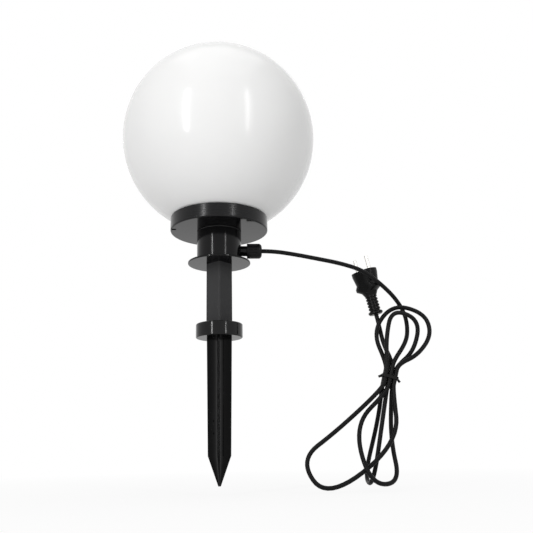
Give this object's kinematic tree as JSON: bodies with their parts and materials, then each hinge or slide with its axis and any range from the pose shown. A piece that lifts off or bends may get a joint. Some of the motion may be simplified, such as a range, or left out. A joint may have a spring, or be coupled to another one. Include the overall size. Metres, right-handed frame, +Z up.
{
  "type": "garden globe light",
  "caption": "Outdoor globe light: opal sphere on a black collar and neck, square post, ground spike, tied cord and plug.",
  "frame": {"origin": "centre of the stop ring's underside, level with the ground that the spike is pushed into", "axes": "+Z up along the lamp's axis, +X towards the cord gland"},
  "size_m": [0.3922, 0.25, 0.57],
  "materials": {
    "opal_globe": "glossy opal white",
    "collar_black": "satin black, fine grain",
    "neck_black": "glossy black",
    "post_grey": "dark grey powder coat",
    "spike_black": "glossy black with faint flow marks",
    "gland_black": "matte black",
    "cord_black": "matte black sheath",
    "tie_black": "matte black",
    "plug_black": "matte black, fine grain",
    "pin_metal": "nickel plated",
    "seal_rubber": "matte",
    "holder_plastic": "off-white, glazed",
    "shell_brass": "bright",
    "zinc_steel": "zinc plated",
    "cap_metal": "nickel plated",
    "lamp_plastic": "white",
    "insulator_black": "vitrite",
    "board_white": "white mask",
    "block_cream": "cream",
    "live_brown": "brown sleeve",
    "neutral_blue": "blue sleeve"
  },
  "bodies": {
    "spike": {"ground_spike": "spike_black"},
    "post": {"post_tube": "post_grey", "post_insert": "gland_black", "captive_nut": "zinc_steel", "fixing_washer": "zinc_steel", "fixing_bolt": "zinc_steel", "base_flange": "neck_black", "neck_housing": "neck_black", "neck_gasket": "seal_rubber", "cord_clamp": "gland_black", "clamp_screws": "zinc_steel", "collar": "collar_black", "lampholder_body": "holder_plastic", "lampholder_shell": "shell_brass", "lampholder_base": "holder_plastic", "lampholder_terminals": "shell_brass", "holder_screws": "zinc_steel", "terminal_block": "block_cream", "terminal_screws": "zinc_steel", "live_core": "live_brown", "neutral_core": "neutral_blue", "live_lead": "live_brown", "neutral_lead": "neutral_blue", "gland_body": "gland_black", "gland_seal": "seal_rubber", "gland_locknut": "gland_black", "gland_nut": "gland_black", "cord_entry": "cord_black", "cord_lead": "cord_black", "cord_hank": "cord_black", "cord_tail": "cord_black", "cord_tie": "tie_black", "plug_body": "plug_black", "plug_sleeve": "plug_black", "plug_pins": "pin_metal"},
    "globe_seal": {"globe_gasket": "seal_rubber"},
    "globe": {"globe": "opal_globe"},
    "plunger": {"lampholder_plunger": "shell_brass"},
    "lamp": {"lamp_contact": "cap_metal", "lamp_insulator": "insulator_black", "lamp_cap": "cap_metal", "lamp_housing": "lamp_plastic", "led_board": "board_white", "lamp_envelope": "lamp_plastic"}
  },
  "joints": [
    {"name": "post_lift", "type": "slide", "parent": "spike", "child": "post", "axis": [0, 0, 1], "range_m": [0, 0.018]},
    {"name": "globe_rise", "type": "slide", "parent": "post", "child": "globe_seal", "axis": [0, 0, 1], "range_m": [0, 0.0075]},
    {"name": "globe_turn", "type": "hinge", "parent": "globe_seal", "child": "globe", "pos_m": [0, 0, 0.2643], "axis": [0, 0, 1], "range_deg": [0, 450]},
    {"name": "plunger_rise", "type": "slide", "parent": "post", "child": "plunger", "axis": [0, 0, 1], "range_m": [0, 0.003]},
    {"name": "lamp_turn", "type": "hinge", "parent": "plunger", "child": "lamp", "pos_m": [0, 0, 0.19], "axis": [0, 0, 1], "range_deg": [0, 290]}
  ],
  "couplings": [
    {"joint": "globe_rise", "follows": "globe_turn", "m_per_rad": 0.00095493},
    {"joint": "plunger_rise", "follows": "lamp_turn", "m_per_rad": 0.00057773}
  ]
}
